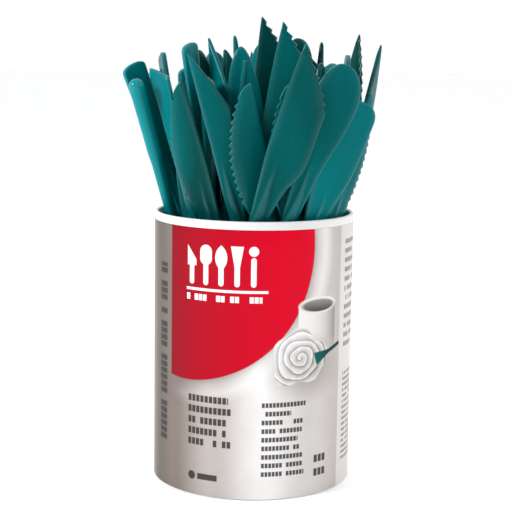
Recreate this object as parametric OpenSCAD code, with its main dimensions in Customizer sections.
// Tub of plastic sculpting spatulas: one moulded tub, its wrap label and forty-eight loose double-ended tools.
// Origin: centre of the tub's flat underside. +Z is up, -Y is the front of the label, sizes are in millimetres.

/* [Tub] */
// Outside diameter, over the label
tub_d = 90; // [90:1:100]
// Height to the top of the rim
tub_h = 122; // [118:1:126]
// Wall thickness below the rim
wall_t = 1.6; // [1.2:0.1:1.8]
// Thickness of the floor
floor_t = 2; // [1.5:0.5:3]
// Height of the bare rim above the label
rim_h = 3.6; // [2:0.2:6]
// Thickness of the wrap label
label_t = 0.3; // [0.2:0.1:0.4]

/* [Spatulas] */
// Width of a handle
handle_w = 6.8; // [6:0.2:6.8]
// Thickness of a handle
handle_t = 5; // [4:0.2:5]
// Thickness of a blade
blade_t = 2.2; // [1.4:0.2:2.2]
// Depth of a saw tooth
tooth_h = 1.5; // [0.5:0.1:2]
// Distance from one saw tooth to the next
tooth_pitch = 3.2; // [2:0.2:5]

/* [Bunch] */
// Gap left between a tool's lower end and the floor
rest_gap = 0.4; // [0.3:0.1:1]

/* [Hidden] */
tub_r = tub_d / 2;
bore_r = tub_r - label_t - wall_t;
foot_r = 1;
seam_gap = 0.4;
label_top = tub_h - rim_h;
label_low = 0.5;
hw = handle_w / 2;
ht = handle_t / 2;
no_cut = 5;

// Lower ends. Each is [cap height, radius at [height, radius], half thickness at [height, half thickness]].
POINT = [1, [[0, 1], [14, 1.8], [42, hw - 0.3]], [[-1, no_cut], [12, no_cut], [34, ht]]];
BALL = [3.3, [[0, 3.3], [3.3, 3.3], [9, 2.1], [40, hw - 0.3]], [[-1, no_cut], [12, no_cut], [34, ht]]];
FINGER = [3.3, [[0, 3.3], [3.3, 3.3], [14, 3.1], [46, hw - 0.2]], [[-1, no_cut], [14, no_cut], [40, ht]]];
WEDGE = [3.2, [[0, 3.2], [10, 3.2], [46, hw]], [[-1, 0.8], [0, 0.8], [28, ht]]];
// The handle of a bladed tool fades into a spine from a height up.
function spine(z) = [[z, hw], [z + 26, 2.3], [z + 52, 0.7]];

// Designs: [name, length, lower end, upper handle, upper cap height, blade outline as [height, left edge, right edge],
// blade tip as [offset to the right, height, roundness], toothed part of the right edge].
DESIGNS = [
    ["saw_knife", 206, POINT, spine(112), 0,
        [[106, 2.2, 2.2], [126, 3.4, 3.8], [143, 4.8, 7], [153, 5.6, 11.2], [162, 6, 12.2], [206, 6, 12.4]],
        [-4.8, 24, 1.15], [183, 204]],
    ["short_saw", 184, POINT, spine(98), 0,
        [[92, 2.2, 2.2], [112, 3.2, 3.6], [126, 4.4, 6.6], [137, 5.2, 10.2], [146, 5.6, 11.2], [184, 5.6, 11.4]],
        [-4.4, 34, 1.7], [136, 180]],
    ["paddle", 182, WEDGE, spine(98), 0,
        [[92, 2.2, 2.2], [118, 3.8, 3.8], [134, 7.2, 7], [147, 10.4, 10.2], [158, 11.4, 11.2], [182, 11.4, 11.4]],
        [1, 8, 2.5], []],
    ["pear_spatula", 198, POINT, spine(112), 0,
        [[106, 2.2, 2.2], [136, 4.2, 4.1], [155, 6.6, 6.2], [169, 9.4, 9], [182, 10.2, 10.4], [198, 10.2, 10.6]],
        [-1.5, 18, 2.1], []],
    ["leaf_blade", 194, BALL, spine(108), 0,
        [[102, 2.2, 2.2], [124, 4, 4], [140, 6.8, 6.6], [155, 8.2, 8], [194, 8.2, 8.2]],
        [0.5, 34, 1.8], []],
    ["lancet_knife", 198, WEDGE, spine(108), 0,
        [[102, 2.2, 2.2], [130, 3.4, 4.6], [147, 3.2, 7.8], [160, 3, 9.2], [198, 3, 9.4]],
        [-2.6, 27, 1.1], []],
    ["chisel_blade", 197, POINT, spine(112), 0,
        [[106, 2.2, 2.2], [138, 4.2, 4.2], [160, 5.8, 5.8], [178, 7.2, 7.2], [197, 8, 8]],
        [0, 3, 2.2], []],
    ["skew_scraper", 192, FINGER, spine(112), 0,
        [[106, 2.2, 2.2], [138, 4, 4], [158, 5.4, 5.2], [178, 6.4, 6.4], [192, 6.6, 6.6]],
        [-6.4, 7, 1.1], []],
    ["finger_stick", 190, POINT, [[112, hw], [160, 3.2], [182, 3.4], [190, 3.4]], 3.4, [], [], []],
    ["ball_stylus", 190, POINT, [[112, hw], [160, 2.8], [178, 1.9], [186.6, 3.4], [190, 3.4]], 3.4, [], [], []]
];

/* ---- curves ---- */
function slope(s, c, i) = i == 0 || i == len(s) - 1 ? 0 : (s[i + 1][c] - s[i - 1][c]) / (s[i + 1][0] - s[i - 1][0]);
function span(s, z, i = 0) = i >= len(s) - 2 || z < s[i + 1][0] ? i : span(s, z, i + 1);
// Column c of a list of stations at height z, joined smoothly from one station to the next.
function blend(s, c, z) = let (i = span(s, z), h = s[i + 1][0] - s[i][0], u = (z - s[i][0]) / h, v = 1 - u)
    s[i][c] * (1 + 2 * u) * v * v + slope(s, c, i) * h * u * v * v
    + s[i + 1][c] * (1 + 2 * v) * u * u - slope(s, c, i + 1) * h * v * u * u;
// How far open an end is at a distance from it: 0 at the end, 1 beyond the cap's height.
function opening(far, height, roundness) = far >= height ? 1 : pow(1 - pow(1 - far / height, roundness), 1 / roundness);
CAP = [for (a = [0:18:90]) 1 - cos(a)];
CAP_DOWN = [for (i = [len(CAP) - 1:-1:0]) CAP[i]];
function between(s, low, high) = [for (i = [0:len(s) - 2]) for (u = [1:4])
    let (z = s[i][0] + (s[i + 1][0] - s[i][0]) * u / 4) if (z > low && z < high) z];

/* ---- one tool, standing on its lower end at the origin ---- */
module handle(d) {
    low = d[2][0];
    bladed = len(d[5]) > 0;
    s = concat(d[2][1], [[75, hw]], d[3]);
    end = s[len(s) - 1][0];
    rotate_extrude($fn = 48) polygon(concat([[0, 0]],
        [for (c = CAP) [blend(s, 1, c * low) * opening(c * low, low, 2), c * low]],
        [for (z = between(s, low + 0.1, end - d[4] - 0.1)) [blend(s, 1, z), z]],
        bladed ? [[blend(s, 1, end), end]]
            : [for (c = CAP_DOWN) [blend(s, 1, end - c * d[4]) * opening(c * d[4], d[4], 2), end - c * d[4]]],
        [[0, end]]));
}

module thinning(d) {
    top = len(d[5]) > 0 ? [[d[1] + 1, ht]] : [[150, ht], [168, no_cut], [d[1] + 1, no_cut]];
    half = concat(d[2][2], top);
    rotate([90, 0, 90]) linear_extrude(20, center = true) polygon(concat(
        [for (p = half) [p[1], p[0]]], [for (i = [len(half) - 1:-1:0]) [-half[i][1], half[i][0]]]));
}

function edge(d, c, z) = let (x = (c == 1 ? -1 : 1) * blend(d[5], c, z), tip = d[6][0])
    [tip + (x - tip) * opening(d[1] - z, d[6][1], d[6][2]), z];

module blade(d) {
    s = d[5];
    cap_h = d[6][1];
    plain = concat([s[0][0]], between(s, s[0][0], d[1] - cap_h - 0.1), [for (c = CAP_DOWN) d[1] - c * cap_h]);
    toothed = len(d[7]) > 0;
    teeth = toothed ? [for (z = [d[7][0]:tooth_pitch / 2:d[7][1]]) z] : [];
    right = toothed ? concat([for (z = plain) if (z < d[7][0] - 1) edge(d, 2, z)],
            [for (i = [0:len(teeth) - 1]) edge(d, 2, teeth[i]) - [i % 2 ? 0 : tooth_h, 0]],
            [for (z = plain) if (z > d[7][1] + 1) edge(d, 2, z)])
        : [for (z = plain) edge(d, 2, z)];
    rotate([90, 0, 0]) linear_extrude(blade_t, center = true)
        polygon(concat(right, [for (i = [len(plain) - 1:-1:0]) edge(d, 1, plain[i])]));
}

module tool(d) {
    intersection() {
        handle(d);
        thinning(d);
    }
    if (len(d[5]) > 0) blade(d);
}

/* ---- where the tools stand ---- */
SAW = 0; SHORT_SAW = 1; PADDLE = 2; PEAR = 3; LEAF = 4; LANCET = 5; CHISEL = 6; SKEW = 7; STICK = 8; STYLUS = 9;
TURNED = 20;
DOWN = 100;
// The tools lean in rings, each ring against the way of the next, so that their handles pass between one another.
// [distance from the axis at floor and rim, lean round the axis, first bearing at the rim, step, blade turn, designs].
// Bearing 0 is the front and 90 the right. TURNED added to a design shows its back, DOWN stands it on its upper end.
RINGS = [
    [39, 70, 2, 20, -8, [SAW, PEAR, PADDLE, SHORT_SAW, SAW, LEAF, CHISEL, SKEW, PEAR, LANCET, PADDLE, LEAF,
        CHISEL, STICK]],
    [30.6, -70, -14, -24, 8, [LANCET, TURNED + SHORT_SAW, SKEW, CHISEL, STICK, PEAR, LANCET, PADDLE, STICK,
        LEAF, SAW, CHISEL, LEAF, TURNED + SHORT_SAW, TURNED + SHORT_SAW]],
    [21.4, 60, 6, 36, -8, [SAW, SKEW, LANCET, DOWN + STICK, PEAR, DOWN + STYLUS, LEAF, CHISEL, PADDLE,
        DOWN + STYLUS]],
    [13.9, -60, 0, 60, 8, [LEAF, STYLUS, PEAR, STICK, SKEW, LANCET]],
    [6.4, 60, 20, 120, -8, [SAW, DOWN + STYLUS, LANCET]]
];
// One row for each tool: [design, upside down or not, ring, bearing at the rim, the way its blade is turned].
PLACES = [for (r = RINGS) for (i = [0:len(r[5]) - 1]) let (k = r[5][i] % DOWN)
    [k % TURNED, r[5][i] >= DOWN, r, r[2] + i * r[3], r[4] + (k >= TURNED ? 180 : 0)]];
// A node's name is its design's name and its number among the tools of that design.
function number_of(i) = len([for (j = [0:i]) if (PLACES[j][0] == PLACES[i][0]) j]);
NAMES = [for (i = [0:len(PLACES) - 1]) str(DESIGNS[PLACES[i][0]][0], "_", number_of(i))];

function ring_point(r, bearing, z) = [r * sin(bearing), -r * cos(bearing), z];
function unit(v) = v / norm(v);
// Bearings at the back are turned by half a circle, so that no blade is shown left for right.
function folded(b) = let (a = (b % 360 + 360) % 360) a > 90 && a <= 270 ? a - 180 : a;
// Matrix that carries an upright tool to its place: its columns are width, thickness, axis and foot.
function seat(p) = let (
        foot = ring_point(p[2][0], p[3] - p[2][1], floor_t + rest_gap),
        axis = unit(ring_point(p[2][0], p[3], tub_h) - foot),
        turn = folded(p[3]) + p[4],
        facing = [cos(turn), sin(turn), 0],
        width = unit(facing - (facing * axis) * axis),
        flat = cross(axis, width))
    [for (i = [0:2]) [width[i], flat[i], axis[i], foot[i]]];

module placed(p) {
    d = DESIGNS[p[0]];
    multmatrix(seat(p)) {
        if (p[1]) translate([0, 0, d[1]]) rotate([180, 0, 0]) tool(d);
        else tool(d);
    }
}

/* ---- tub and label ---- */
module tub() {
    r = tub_r - label_t;
    color("white") rotate_extrude($fn = 180) polygon(concat([[0, 0]],
        [for (a = [0:15:90]) [r - foot_r * (1 - sin(a)), foot_r * (1 - cos(a))]],
        [[r, label_top], [tub_r, label_top], [tub_r, tub_h - 0.8], [tub_r - 0.6, tub_h], [bore_r + 0.5, tub_h],
            [bore_r, tub_h - 0.6], [bore_r, floor_t + 2], [bore_r - 0.6, floor_t + 0.6], [bore_r - 2, floor_t], [0, floor_t]]));
}

module wrap_label() {
    color("gainsboro") difference() {
        translate([0, 0, label_low]) cylinder(r = tub_r, h = label_top - label_low, $fn = 180);
        translate([0, 0, label_low - 1]) cylinder(r = tub_r - label_t, h = tub_h, $fn = 180);
        translate([-seam_gap / 2, 0, 0]) cube([seam_gap, tub_d, tub_h]);
    }
}

tub();
wrap_label();
for (i = [0:len(PLACES) - 1]) color("teal") placed(PLACES[i]);
